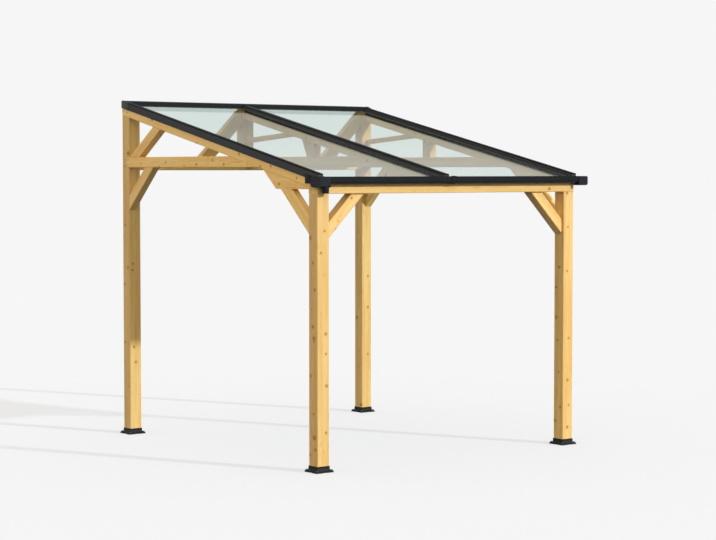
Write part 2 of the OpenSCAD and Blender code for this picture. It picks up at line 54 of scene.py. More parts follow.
FLOOR_LIT = (0.02, 0.02, 0.02, 1)  # what the floor throws back at the object
FLOOR_MATT = (0.29, 0.29, 0.30, 1)  # takes the object's shadow
FLOOR_GLOW = (0.506, 0.519, 0.537, 1)  # brings the sunlit floor up to the pale horizon

scene = bpy.context.scene
scene.view_settings.view_transform = "Standard"

camera_data = bpy.data.cameras.new("camera")
camera_data.sensor_width = 36
camera_data.lens = LENS
camera_data.clip_end = 400
camera = bpy.data.objects.new("camera", camera_data)
camera.location = CAMERA_PLACE
camera.rotation_euler = (CAMERA_TILT, 0, CAMERA_HEADING)
scene.collection.objects.link(camera)
scene.camera = camera

sun_data = bpy.data.lights.new("sun", "SUN")
sun_data.energy = SUN_STRONG
sun_data.color = SUN_COLOUR
sun_data.angle = math.radians(1.6)
sun = bpy.data.objects.new("sun", sun_data)
sun.rotation_euler = SUN_FROM.to_track_quat("Z", "Y").to_euler()
scene.collection.objects.link(sun)


def wire(tree, source, target):
    """Joins an output socket to an input socket."""
    tree.links.new(source, target)


def math_node(tree, kind, first, second=0.0, third=0.0, clamp=False):
    """One Math node; each input is a socket or a number."""
    n = tree.nodes.new("ShaderNodeMath")
    n.operation = kind
    n.use_clamp = clamp
    for slot, value in zip(n.inputs, (first, second, third)):
        if isinstance(value, (int, float)):
            slot.default_value = value
        else:
            wire(tree, value, slot)
    return n.outputs[0]


def seen_direct(tree):
    """1 for what is looked at straight, in a mirror or through glass, 0 for light."""
    path = tree.nodes.new("ShaderNodeLightPath").outputs
    seen = math_node(tree, "MAXIMUM", path["Is Camera Ray"], path["Is Glossy Ray"])
    return math_node(tree, "MAXIMUM", seen, path["Is Transmission Ray"])


def coloured(tree, kind, colour):
    """A shader node of one kind, with its colour set."""
    n = tree.nodes.new("ShaderNode" + kind)
    n.inputs["Color"].default_value = colour
    return n


def end_with_mix(tree, share, first, second, end):
    """Ends a tree in a mix of two shaders: first where share is 0, second where it is 1."""
    mix = tree.nodes.new("ShaderNodeMixShader")
    for slot, source in zip(mix.inputs, (share, first.outputs[0], second.outputs[0])):
        wire(tree, source, slot)
    wire(tree, mix.outputs[0], end.inputs["Surface"])


world = bpy.data.worlds.new("pale_studio")
scene.world = world
world.use_nodes = True
sky = world.node_tree
sky.nodes.clear()
fill = coloured(sky, "Background", FILL_COLOUR)
fill.inputs["Strength"].default_value = FILL_STRONG
end_with_mix(sky, seen_direct(sky), fill, coloured(sky, "Background", PALE),
             sky.nodes.new("ShaderNodeOutputWorld"))

bpy.ops.object.select_all(action="DESELECT")
bpy.ops.mesh.primitive_plane_add(size=FLOOR_WIDE, location=(0, 0, 0))
floor = bpy.context.object
floor.name = "studio_floor"
floor_paint = bpy.data.materials.new("studio_floor")
floor_paint.use_nodes = True
tree = floor_paint.node_tree
tree.nodes.clear()
matt_and_glow = tree.nodes.new("ShaderNodeAddShader")
wire(tree, coloured(tree, "BsdfDiffuse", FLOOR_MATT).outputs[0], matt_and_glow.inputs[0])
wire(tree, coloured(tree, "Emission", FLOOR_GLOW).outputs[0], matt_and_glow.inputs[1])
end_with_mix(tree, seen_direct(tree), coloured(tree, "BsdfDiffuse", FLOOR_LIT),
             matt_and_glow, tree.nodes.new("ShaderNodeOutputMaterial"))
floor.data.materials.append(floor_paint)


# ---- post shoes ------------------------------------------------------------------------
# The four shoes are cast iron: a lobed flange that flares up into a socket for the post.
# The castings are coated black. The coat is dull and lumpy, and dust has settled on it,
# with more of it close to the floor.
def noise(tree, vector, scale, detail=3.0, rough=0.55):
    """A noise value between 0 and 1, its scale in lumps per metre."""
    n = tree.nodes.new("ShaderNodeTexNoise")
    n.inputs["Scale"].default_value = scale
    n.inputs["Detail"].default_value = detail
    n.inputs["Roughness"].default_value = rough
    wire(tree, vector, n.inputs["Vector"])
    return n.outputs["Fac"]


def ramp(tree, value, low, high, to_low=0.0, to_high=1.0):
    """A smooth step: to_low where value is below low, to_high where it is above high."""
    n = tree.nodes.new("ShaderNodeMapRange")
    n.interpolation_type = "SMOOTHSTEP"
    n.inputs["From Min"].default_value = low
    n.inputs["From Max"].default_value = high
    n.inputs["To Min"].default_value = to_low
    n.inputs["To Max"].default_value = to_high
    wire(tree, value, n.inputs["Value"])
    return n.outputs["Result"]


def blend(tree, share, first, second):
    """A mix of two colours; each is a socket or a colour."""
    n = tree.nodes.new("ShaderNodeMix")
    n.data_type = "RGBA"
    wire(tree, share, n.inputs["Factor"])
    for slot, value in ((n.inputs["A"], first), (n.inputs["B"], second)):
        if isinstance(value, tuple):
            slot.default_value = value
        else:
            wire(tree, value, slot)
    return n.outputs["Result"]


def parts_of(tree, vector):
    """The X, Y and Z of a vector."""
    n = tree.nodes.new("ShaderNodeSeparateXYZ")
    wire(tree, vector, n.inputs[0])
    return n.outputs


def new_material(name):
    """A material with a Principled shader, and the object's own coordinates."""
    m = bpy.data.materials.new(name)
    m.use_nodes = True
    tree = m.node_tree
    place = tree.nodes.new("ShaderNodeTexCoord")
    return m, tree, tree.nodes["Principled BSDF"], place.outputs["Object"]


def new_group(name, vectors, colours, numbers, numbers_out):
    """A node group with its inputs by kind; it puts out a Colour and some numbers."""
    g = bpy.data.node_groups.new(name, "ShaderNodeTree")
    sockets = [(label, "INPUT", "Vector") for label in vectors]
    sockets += [(label, "INPUT", "Color") for label in colours]
    sockets += [(label, "INPUT", "Float") for label in numbers]
    sockets += [("Colour", "OUTPUT", "Color")]
    sockets += [(label, "OUTPUT", "Float") for label in numbers_out]
    for label, way, kind in sockets:
        g.interface.new_socket(label, in_out=way, socket_type="NodeSocket" + kind)
    return g, g.nodes.new("NodeGroupInput").outputs, g.nodes.new("NodeGroupOutput").inputs


def bump(tree, shader, height, depth):
    """Lets a height between 0 and 1, depth metres high, turn the shader's normal."""
    n = tree.nodes.new("ShaderNodeBump")
    n.inputs["Distance"].default_value = depth
    wire(tree, height, n.inputs["Height"])
    wire(tree, n.outputs["Normal"], shader.inputs["Normal"])


def coat_group():
    """Skin of a coated part: a fine orange peel and patches of dust."""
    patch_scale, speck_scale, low_band = 7, 420, 0.05
    upright_share, gloss_wander, dust_dulls = 0.2, 0.16, 0.25
    g, given, result = new_group(
        "coated_skin", ["Vector"], ["Colour", "Dust Colour"],
        ["Peel Scale", "Dust", "Low Dust", "Roughness"], ["Roughness", "Height", "Upward"])
    peel = g.nodes.new("ShaderNodeTexNoise")
    peel.inputs["Detail"].default_value = 2
    wire(g, given["Vector"], peel.inputs["Vector"])
    wire(g, given["Peel Scale"], peel.inputs["Scale"])
    wire(g, peel.outputs["Fac"], result["Height"])

    # loose dust lies mostly on faces that look up, and more dust clings in a band low down
    normal = g.nodes.new("ShaderNodeNewGeometry").outputs["Normal"]
    upward = ramp(g, parts_of(g, normal)["Z"], 0.1, 0.9)
    wire(g, upward, result["Upward"])
    patches = noise(g, given["Vector"], patch_scale, 6, 0.62)
    specks = noise(g, given["Vector"], speck_scale, 2)
    loose = math_node(g, "MULTIPLY", ramp(g, patches, 0.42, 0.72), given["Dust"])
    kept = math_node(g, "MULTIPLY_ADD", upward, 1 - upright_share, upright_share)
    loose = math_node(g, "MULTIPLY", loose, kept)
    near_floor = ramp(g, parts_of(g, given["Vector"])["Z"], 0.0, low_band, 1.0, 0.0)
    low = math_node(g, "MULTIPLY", near_floor, given["Low Dust"])
    low = math_node(g, "MULTIPLY", low, ramp(g, patches, 0.3, 0.6, 0.5, 1.0))
    dust = math_node(g, "ADD", loose, low, clamp=True)
    dust = math_node(g, "MULTIPLY", dust, ramp(g, specks, 0.3, 0.6, 0.6, 1.0), clamp=True)
    wire(g, blend(g, dust, given["Colour"], given["Dust Colour"]), result["Colour"])

    # the gloss wanders a little, and dust dulls it
    rough = math_node(g, "MULTIPLY_ADD", patches, gloss_wander, -gloss_wander / 2)
    rough = math_node(g, "ADD", rough, given["Roughness"])
    rough = math_node(g, "MULTIPLY_ADD", dust, dust_dulls, rough, clamp=True)
    wire(g, rough, result["Roughness"])
    return g


coated_skin = coat_group()


def coated(name, colour, dust_colour, peel, peel_depth, dust, rough, gloss, low_dust=0.0,
           top=None):
    """A coated metal or moulded plastic. peel is the scale of its orange peel, dust and
    low_dust say how much of it is dusty, and top is a colour painted on faces that look up,
    as painted shade that makes them darker than the sides."""
    m, tree, shader, place = new_material(name)
    shader.inputs["Specular IOR Level"].default_value = gloss
    skin = tree.nodes.new("ShaderNodeGroup")
    skin.node_tree = coated_skin
    wire(tree, place, skin.inputs["Vector"])
    skin.inputs["Colour"].default_value = colour
    skin.inputs["Dust Colour"].default_value = dust_colour
    skin.inputs["Peel Scale"].default_value = peel
    skin.inputs["Dust"].default_value = dust
    skin.inputs["Low Dust"].default_value = low_dust
    skin.inputs["Roughness"].default_value = rough
    tone = skin.outputs["Colour"]
    # faces that look up take the top colour: painted shade
    if top:
        tone = blend(tree, skin.outputs["Upward"], tone, top)
    wire(tree, tone, shader.inputs["Base Color"])
    wire(tree, skin.outputs["Roughness"], shader.inputs["Roughness"])
    bump(tree, shader, skin.outputs["Height"], peel_depth)
    return m


def dress(names, material):
    """Gives CAD nodes their finish."""
    for name in names:
        slots = node[name].data.materials
        slots.clear()
        slots.append(material)


SHOES = ("front_left_shoe", "front_right_shoe", "rear_left_shoe", "rear_right_shoe")
dress(SHOES, coated("black_cast_coat", (0.008, 0.008, 0.011, 1), (0.11, 0.105, 0.10, 1),
                    peel=260, peel_depth=0.0005, dust=0.12, rough=0.5, gloss=0.12,
                    low_dust=0.10))


# ---- anchor bolts ----------------------------------------------------------------------
# A stud, a washer and a hexagon nut hold each lobe of a shoe to the ground. They are steel
# with a black zinc plate. The stud is threaded and ends just above its nut.
WASHER_ROUND, WASHER_TALL, WASHER_EDGE = 0.0099, 0.002, 0.0004
NUT_WIDE, NUT_TALL, NUT_CORNER = 0.017, 0.008, 0.0011
STUD_ROUND, THREAD_STEP, THREADS, THREAD_FOOT = 0.0049, 0.0015, 7, 0.006
THREAD_ROOT, STUD_TIP, TIP_TALL = 0.88, 0.8, 0.0006
BOLT_REACH, FLANGE_TOP = 0.070, 0.012


def start_fresh():
    """Leaves nothing selected, so that an operator acts on the new piece alone."""
    if bpy.context.mode != "OBJECT":
        bpy.ops.object.mode_set(mode="OBJECT")
    bpy.ops.object.select_all(action="DESELECT")


def take(piece):
    """Leaves one piece selected and active."""
    start_fresh()
    piece.select_set(True)
    bpy.context.view_layer.objects.active = piece


def open_mesh(piece, kind="FACE"):
    """Opens a piece in edit mode with nothing picked, and gives its mesh."""
    take(piece)
    bpy.ops.object.mode_set(mode="EDIT")
    bpy.ops.mesh.select_mode(type=kind)
    bpy.ops.mesh.select_all(action="DESELECT")
    return bmesh.from_edit_mesh(piece.data)


def pick(piece, kind, test=lambda part: True):
    """Picks the vertices, edges or faces that pass a test, or all of them."""
    shape = open_mesh(piece, kind)
    parts = {"VERT": shape.verts, "EDGE": shape.edges, "FACE": shape.faces}[kind]
    for part in parts:
        if test(part):
            part.select_set(True)
    shape.select_flush_mode()
    bmesh.update_edit_mesh(piece.data)


def extrude(x, y, z):
    """Extrudes what is picked by a distance."""
    bpy.ops.mesh.extrude_region_move(TRANSFORM_OT_translate={"value": (x, y, z)})


def middle(part):
    """The middle of an edge or a face."""
    return sum((v.co for v in part.verts), Vector()) / len(part.verts)


def use_modifier(piece, kind, **values):
    """Adds one modifier and applies it."""
    take(piece)
    m = piece.modifiers.new(kind.lower(), kind)
    for key, value in values.items():
        setattr(m, key, value)
    bpy.ops.object.modifier_apply(modifier=m.name)


def fix_place(piece):
    """Moves a piece's place, turn and size into its mesh."""
    take(piece)
    bpy.ops.object.transform_apply(location=True, rotation=True, scale=True)


def settle(piece, name, material):
    """Ends a piece: clean mesh, faces outward, object at the origin, finish and body."""
    fix_place(piece)
    open_mesh(piece)
    bpy.ops.mesh.select_all(action="SELECT")
    bpy.ops.mesh.remove_doubles(threshold=0.00002)
    bpy.ops.mesh.normals_make_consistent(inside=False)
    take(piece)
    bpy.ops.object.shade_smooth_by_angle(angle=math.radians(35))
    piece.name = name
    piece.data.name = name
    piece.data.materials.clear()
    piece.data.materials.append(material)
    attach(piece, "root")


def join(pieces):
    """Joins pieces into the first of them."""
    start_fresh()
    for p in pieces:
        p.select_set(True)
    bpy.context.view_layer.objects.active = pieces[0]
    bpy.ops.object.join()
    return bpy.context.object


def copy_to(piece, matrix):
    """A copy with its own mesh, moved and turned by a matrix."""
    other = piece.copy()
    other.data = piece.data.copy()
    other.data.transform(matrix)
    scene.collection.objects.link(other)
    return other


def drop(piece):
    """Takes away a master whose copies are in place."""
    bpy.data.objects.remove(piece)


def plated(name, colour, rough):
    """Plated steel: bright metal with cloudy patches."""
    cloud_scale, grit_scale, grit_depth, dulled = 160, 2600, 0.00004, 0.55
    m, tree, shader, place = new_material(name)
    cloud = noise(tree, place, cloud_scale, 4)
    dull = tuple(c * dulled for c in colour[:3]) + (1,)
    wire(tree, blend(tree, ramp(tree, cloud, 0.35, 0.7), colour, dull),
         shader.inputs["Base Color"])
    wire(tree, ramp(tree, cloud, 0.3, 0.7, rough - 0.08, rough + 0.14),
         shader.inputs["Roughness"])
    shader.inputs["Metallic"].default_value = 1
    bump(tree, shader, noise(tree, place, grit_scale, 2), grit_depth)
    return m


start_fresh()
bpy.ops.mesh.primitive_cylinder_add(vertices=32, radius=WASHER_ROUND, depth=WASHER_TALL,
                                    location=(0, 0, WASHER_TALL / 2))
washer = bpy.context.object
fix_place(washer)
pick(washer, "EDGE", lambda e: middle(e).z > WASHER_TALL * 0.9 and e.calc_length() < 0.003)
bpy.ops.mesh.bevel(offset=WASHER_EDGE, segments=2)

start_fresh()
bpy.ops.mesh.primitive_cylinder_add(vertices=6, radius=NUT_WIDE / math.sqrt(3),
                                    depth=NUT_TALL,
                                    location=(0, 0, WASHER_TALL + NUT_TALL / 2))
nut = bpy.context.object
fix_place(nut)
pick(nut, "VERT")
bpy.ops.mesh.bevel(offset=NUT_CORNER, segments=2, affect="VERTICES")

start_fresh()
bpy.ops.mesh.primitive_cone_add(vertices=20, radius1=STUD_ROUND * THREAD_ROOT,
                                radius2=STUD_ROUND, depth=THREAD_STEP / 2,
                                end_fill_type="NOTHING",
                                location=(0, 0, THREAD_FOOT + THREAD_STEP / 4))
stud = bpy.context.object
fix_place(stud)
pick(stud, "EDGE", lambda e: all(v.co.z > THREAD_FOOT + THREAD_STEP / 4 for v in e.verts))
extrude(0, 0, THREAD_STEP / 2)
bpy.ops.transform.resize(value=(THREAD_ROOT, THREAD_ROOT, 1), center_override=(0, 0, 0))
use_modifier(stud, "ARRAY", count=THREADS, use_relative_offset=False,
             use_constant_offset=True, constant_offset_displace=(0, 0, THREAD_STEP),
             use_merge_vertices=True)
end = max(v.co.z for v in stud.data.vertices)
pick(stud, "EDGE", lambda e: all(v.co.z > end - 0.0001 for v in e.verts))
extrude(0, 0, TIP_TALL)
bpy.ops.transform.resize(value=(STUD_TIP, STUD_TIP, 1), center_override=(0, 0, 0))
bpy.ops.mesh.edge_face_add()
anchor = join([washer, nut, stud])

black_zinc = plated("black_zinc_plate", (0.11, 0.11, 0.115, 1), 0.38)
chance = random.Random(7)
for name in SHOES:
    low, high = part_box(name)
    centre = (low + high) / 2
    fixings = []
    for sx in (-1, 1):
        for sy in (-1, 1):
            spot = Vector((centre.x + sx * BOLT_REACH, centre.y + sy * BOLT_REACH, FLANGE_TOP))
            turn = Matrix.Rotation(chance.uniform(0, math.pi), 4, "Z")
            fixings.append(copy_to(anchor, Matrix.Translation(spot) @ turn))
    settle(join(fixings), name.replace("shoe", "anchor_bolts"), black_zinc)
drop(anchor)


# ---- timber ----------------------------------------------------------------------------
# Every timber is planed spruce with a clear honey oil. Each was sawn from its own place
# in a log: rings run round a pith, knots grow out from it, and the grain flows round
# them. The same solid pattern shows the long grain on the sides and rings on the ends.
PANE_PLUMB = 0.0082  # thickness of a pane, measured plumb
pane_low, pane_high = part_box("left_glass")
pitch = math.atan2(pane_high.z - pane_low.z - PANE_PLUMB, pane_high.y - pane_low.y)
SET_KNOT = 0.012  # radius of a listed knot
GRAIN_DEPTH = 0.0003
PALE_WOOD, LATE_WOOD = (0.93, 0.628, 0.224), (0.75, 0.405, 0.084)
KNOT_WOOD = (0.34, 0.145, 0.012, 1)


def vector_math(tree, kind, first, second):
    """One Vector Math node; the second input is a socket or a vector."""
    n = tree.nodes.new("ShaderNodeVectorMath")
    n.operation = kind
    wire(tree, first, n.inputs[0])
    if isinstance(second, (tuple, Vector)):
        n.inputs[1].default_value = second
    else:
        wire(tree, second, n.inputs[1])
    return n.outputs


def root_of_squares(tree, lengths):
    """The root of the summed squares of some lengths."""
    total = 0.0
    for length in lengths:
        total = math_node(tree, "ADD", math_node(tree, "POWER", length, 2), total)
    return math_node(tree, "POWER", total, 0.5)


def spruce_group():
    """Spruce in solid form: X runs along the grain, and the pith lies on the X axis."""
    g, given, result = new_group("spruce", ["Vector"], ["Pale", "Late", "Knot"],
                                 ["To Set Knot"], ["Roughness", "Height"])

    def stretched(x, y, z, detail, rough=0.55):
        """Noise with its own number of lumps per metre along each axis."""
        place = vector_math(g, "MULTIPLY", given["Vector"], (x, y, z))[0]
        return noise(g, place, 1, detail, rough)

    along, across, up = parts_of(g, given["Vector"])
    away = math_node(g, "MAXIMUM", root_of_squares(g, (across, up)), 0.001)

    # knots: branches that start at the pith, in cells round the log and along it
    cells_along, cells_round = 1.3, 1.25
    small_knot, large_knot, knot_long = 0.005, 0.015, 1.25
    knot_ragged, rag_scale, ring_scale = 0.005, 90, 900
    ring_place = g.nodes.new("ShaderNodeCombineXYZ")
    wire(g, math_node(g, "MULTIPLY", along, cells_along), ring_place.inputs[0])
    for slot, side in ((1, across), (2, up)):
        wire(g, math_node(g, "MULTIPLY", math_node(g, "DIVIDE", side, away), cells_round),
             ring_place.inputs[slot])
    cell = g.nodes.new("ShaderNodeTexVoronoi")
    cell.inputs["Scale"].default_value = 1
    wire(g, ring_place.outputs[0], cell.inputs["Vector"])
    gap = vector_math(g, "SUBTRACT", ring_place.outputs[0], cell.outputs["Position"])[0]
    gap_along, gap_y, gap_z = parts_of(g, gap)
    wide = math_node(g, "DIVIDE", away, cells_round)
    far = root_of_squares(g, (math_node(g, "DIVIDE", gap_along, cells_along * knot_long),
                              math_node(g, "MULTIPLY", gap_y, wide),
                              math_node(g, "MULTIPLY", gap_z, wide)))
    far = math_node(g, "MULTIPLY_ADD", noise(g, given["Vector"], rag_scale, 2), knot_ragged,
                    math_node(g, "SUBTRACT", far, knot_ragged / 2))
    tint = g.nodes.new("ShaderNodeSeparateColor")
    wire(g, cell.outputs["Color"], tint.inputs[0])
    size = ramp(g, tint.outputs[0], 0.0, 1.0, small_knot, large_knot)
    inside = math_node(g, "MINIMUM", math_node(g, "DIVIDE", far, size),
                       math_node(g, "DIVIDE", given["To Set Knot"], SET_KNOT))
    knot = ramp(g, inside, 0.85, 1.12, 1.0, 0.0)
    heart = ramp(g, inside, 0.15, 0.8, 1.0, 0.0)
    halo = ramp(g, inside, 0.9, 2.6, 1.0, 0.0)

    # year rings, pushed aside by the knots; each year has its own depth of colour
    sway_push, knot_push = 0.05, 0.011
    thin_year, wide_year = 0.0028, 0.0056
    bent = math_node(g, "MULTIPLY_ADD", stretched(1.1, 9, 9, 2), sway_push, away)
    bent = math_node(g, "MULTIPLY_ADD", halo, knot_push, bent)
    ring_size = ramp(g, stretched(0.35, 14, 14, 2), 0.2, 0.8, thin_year, wide_year)
    turn = math_node(g, "DIVIDE", bent, ring_size)
    phase = math_node(g, "FRACT", turn)
    late = math_node(g, "MULTIPLY", ramp(g, phase, 0.3, 0.9), ramp(g, phase, 0.93, 1.0, 1.0, 0.0))
    year = g.nodes.new("ShaderNodeTexWhiteNoise")
    year.noise_dimensions = "1D"
    wire(g, math_node(g, "FLOOR", turn), year.inputs["W"])
    late = math_node(g, "MULTIPLY", late, ramp(g, year.outputs["Value"], 0, 1, 0.3, 1.0))

    # fibres, broad clouds of tone, and short dark flecks of resin
    fibre = stretched(22, 900, 900, 3, 0.6)
    broad = stretched(0.9, 22, 22, 4)
    fleck = ramp(g, stretched(30, 420, 420, 1), 0.72, 0.8)

    # the tone of sound wood, then of flecks, of the halo round a knot, and of the knot
    fibre_share, late_share, broad_share, pale_share = 0.34, 0.62, 0.55, 0.22
    fleck_share, halo_share = 0.3, 0.35
    knot_share, ring_share, heart_share = 0.78, 0.25, 0.22
    shade = math_node(g, "MULTIPLY_ADD", fibre, fibre_share,
                      math_node(g, "MULTIPLY", late, late_share))
    shade = math_node(g, "MULTIPLY_ADD", ramp(g, broad, 0.32, 0.68), broad_share, shade)
    shade = math_node(g, "SUBTRACT", shade, pale_share, clamp=True)
    tone = blend(g, shade, given["Pale"], given["Late"])
    tone = blend(g, math_node(g, "MULTIPLY", fleck, fleck_share), tone, given["Knot"])
    tone = blend(g, math_node(g, "MULTIPLY", halo, halo_share), tone, given["Late"])
    knot_rings = math_node(g, "FRACT", math_node(g, "MULTIPLY", far, ring_scale))
    knot_tone = math_node(g, "MULTIPLY_ADD", heart, -heart_share, knot_share)
    knot_tone = math_node(g, "MULTIPLY_ADD", knot_rings, ring_share, knot_tone, clamp=True)
    tone = blend(g, math_node(g, "MULTIPLY", knot, knot_tone), tone, given["Knot"])
    wire(g, tone, result["Colour"])

    # late wood, fibres and knots stand a little proud, and a knot is a little smoother
    plain_rough, fibre_rough, knot_gloss = 0.42, 0.2, 0.03
    late_high, fibre_high, knot_high = 0.45, 0.4, 0.25
    rough = math_node(g, "MULTIPLY_ADD", fibre, fibre_rough, plain_rough)
    wire(g, math_node(g, "MULTIPLY_ADD", knot, -knot_gloss, rough), result["Roughness"])
    high = math_node(g, "MULTIPLY_ADD", late, late_high,
                     math_node(g, "MULTIPLY", fibre, fibre_high))
    wire(g, math_node(g, "MULTIPLY_ADD", knot, knot_high, high), result["Height"])
    return g


spruce = spruce_group()


def nearest(tree, place, spots, sizes):
    """How far a place is from the nearest of some spots, each measured in its own size,
    and 1 at most."""
    least = 1.0
    for spot, size in zip(spots, sizes):
        away = vector_math(tree, "DISTANCE", place, spot)["Value"]
        least = math_node(tree, "MINIMUM", math_node(tree, "DIVIDE", away, size), least)
    return least


def shaded(colour, tone, warm):
    """A colour of wood, made lighter by tone and yellower by warm."""
    red, green, blue = colour
    return min(red * tone, 1.0), green * tone * warm, blue * tone, 1


def timber(name, grain, pith, shift, tone, warm, knots):
    """Finish of one timber: the way its grain runs, where its pith lies beside its own
    middle, how far along the log it was cut, its tone, which paints light and shade on it with a
    little random variation, and knots given one by one."""
    m, tree, shader, place = new_material("spruce_" + name)
    low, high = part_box(name)
    run = Vector(grain).normalized()
    turn = run.to_track_quat("X", "Z")
    lay = tree.nodes.new("ShaderNodeMapping")
    lay.vector_type = "TEXTURE"
    lay.inputs["Location"].default_value = ((low + high) / 2 - run * shift
                                            + turn @ Vector((0, pith[0], pith[1])))
    lay.inputs["Rotation"].default_value = turn.to_euler()
    wire(tree, place, lay.inputs["Vector"])
    wood = tree.nodes.new("ShaderNodeGroup")
    wood.node_tree = spruce
    wire(tree, lay.outputs[0], wood.inputs["Vector"])
    wood.inputs["Pale"].default_value = shaded(PALE_WOOD, tone, warm)
    wood.inputs["Late"].default_value = shaded(LATE_WOOD, tone, warm)
    wood.inputs["Knot"].default_value = KNOT_WOOD
    wood.inputs["To Set Knot"].default_value = 1.0
    if knots:
        chance = random.Random(len(knots) + len(name))
        sizes = [chance.uniform(0.7, 1.15) for _ in knots]
        wire(tree, nearest(tree, place, knots, sizes), wood.inputs["To Set Knot"])
    wire(tree, wood.outputs["Colour"], shader.inputs["Base Color"])
    wire(tree, wood.outputs["Roughness"], shader.inputs["Roughness"])
    bump(tree, shader, wood.outputs["Height"], GRAIN_DEPTH)
    dress([name], m)


SLOPE = (0, math.cos(pitch), math.sin(pitch))
KNEE, LEAN = math.radians(42.5), math.radians(33.5)
FRONT_KNEE = (0, math.cos(KNEE), math.sin(KNEE))
REAR_KNEE = (0, -math.cos(KNEE), math.sin(KNEE))
ACROSS, BACK, UP = (1, 0, 0), (0, 1, 0), (0, 0, 1)
RIGHT_UP, LEFT_UP = (1, 0, 1), (-1, 0, 1)
GRAIN = {
    "front_left_post": UP, "front_right_post": UP, "rear_left_post": UP,
    "rear_right_post": UP, "front_beam": ACROSS, "rear_beam": ACROSS,
    "middle_king_post": UP,
    "left_rafter": SLOPE, "middle_rafter": SLOPE, "right_rafter": SLOPE,
    "left_tie": BACK, "middle_tie": BACK, "right_tie": BACK,
    "left_saddle": BACK, "middle_saddle": BACK, "right_saddle": BACK,
    "left_front_knee": FRONT_KNEE, "right_front_knee": FRONT_KNEE,
    "left_rear_knee": REAR_KNEE, "right_rear_knee": REAR_KNEE,
    "left_rafter_brace": (0, -math.cos(LEAN), math.sin(LEAN)),
    "front_left_brace": RIGHT_UP, "front_right_brace": LEFT_UP,
    "middle_wall_brace": RIGHT_UP, "right_wall_brace": RIGHT_UP,
    "middle_collar": BACK, "right_collar": BACK,
    "middle_strut": UP, "right_strut": UP,
}
# knots that stand out, each as metres back from the front faces of the posts, or right
# from the outer left faces, and metres above the floor
post_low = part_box("front_left_post")[0]
SIDE_KNOTS = {"rear_left_post": ((2.957, 2.434), (2.960, 1.900), (2.973, 1.363),
                                 (2.968, 0.835)),
              "front_left_post": ((0.059, 1.664), (0.036, 1.452), (0.062, 1.158),
                                  (0.045, 1.040), (0.050, 0.467), (0.029, 0.183)),
              "front_right_post": ((0.052, 1.554), (0.093, 1.377), (0.084, 1.115),
                                   (0.066, 0.915)),
              "left_tie": ((1.506, 2.482), (1.334, 2.445), (1.758, 2.446), (2.258, 2.465)),
              "left_rafter": ((0.279, 2.334), (0.642, 2.430), (1.102, 2.530)),
              "left_saddle": ((0.523, 2.285),)}
FRONT_KNOTS = {"front_left_post": ((0.071, 1.917), (0.035, 1.744), (0.082, 1.102),
                                   (0.084, 0.943), (0.089, 0.689), (0.084, 0.315)),
               "rear_left_post": ((0.030, 1.494), (0.041, 0.793), (0.059, 0.655)),
               "rear_right_post": ((2.718, 1.351), (2.718, 1.043)),
               "front_right_post": ((2.696, 1.903), (2.684, 2.198), (2.689, 1.520),
                                    (2.711, 0.933), (2.702, 0.566), (2.716, 0.345),
                                    (2.699, 0.153)),
               "front_left_brace": ((0.353, 2.175),)}
# Whole timbers are made lighter or darker to stand in for the light on them: painted light and
# shade. The posts and the timbers with sunlit fronts are painted darker, the timbers at the back
# under the glass darker as painted shade, and the rest lighter.
OWN_PAINTED_LIGHT_TONE = {"front_right_post": 0.88, "front_beam": 0.91,
            "front_left_brace": 0.92, "front_right_brace": 0.95,
            "middle_king_post": 0.82, "middle_wall_brace": 0.85, "right_wall_brace": 0.85,
            "middle_strut": 0.85, "right_strut": 0.85, "left_rafter_brace": 1.05,
            "left_rear_knee": 1.0}
POST_PAINTED_SHADE_TONE, USUAL_PAINTED_LIGHT_TONE = 0.82, 1.11
FURTHER = {"left_rear_knee": 0.35}  # metres further along its log, where the wood is calm
log = random.Random(21)
for name, grain in GRAIN.items():
    side = log.uniform(0, 2 * math.pi)
    off = log.uniform(0.015, 0.045)
    low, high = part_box(name)
    knots = [(low.x, post_low.y + back, up) for back, up in SIDE_KNOTS.get(name, ())]
    knots += [(post_low.x + right, low.y, up) for right, up in FRONT_KNOTS.get(name, ())]
    # each timber's tone is painted light and shade, with a little random variation
    own = OWN_PAINTED_LIGHT_TONE.get(name, POST_PAINTED_SHADE_TONE if name.endswith("_post") else USUAL_PAINTED_LIGHT_TONE)
    shift = log.uniform(2, 40) + FURTHER.get(name, 0)
    timber(name, grain, (off * math.cos(side), off * math.sin(side)), shift,
           own * log.uniform(0.98, 1.02), log.uniform(0.98, 1.02), knots)


# ---- glass -----------------------------------------------------------------------------
# Two panes of 8 mm float glass lie on the rafters. The glass is clear with a faint green
# tint. Rain has left thin dried marks on it, and a dull film that thickens down the slope.
MARK_SCALE, MARK_ROUGH = 3.5, 0.03
FILM, FILM_ROUGH = 0.62, 0.25
FILM_FULL, FILM_NONE = -1.5, 0.9  # places from front to back
SUN_THROUGH, FILL_THROUGH = (0.07, 0.075, 0.07, 1), (0.75, 0.79, 0.77, 1)


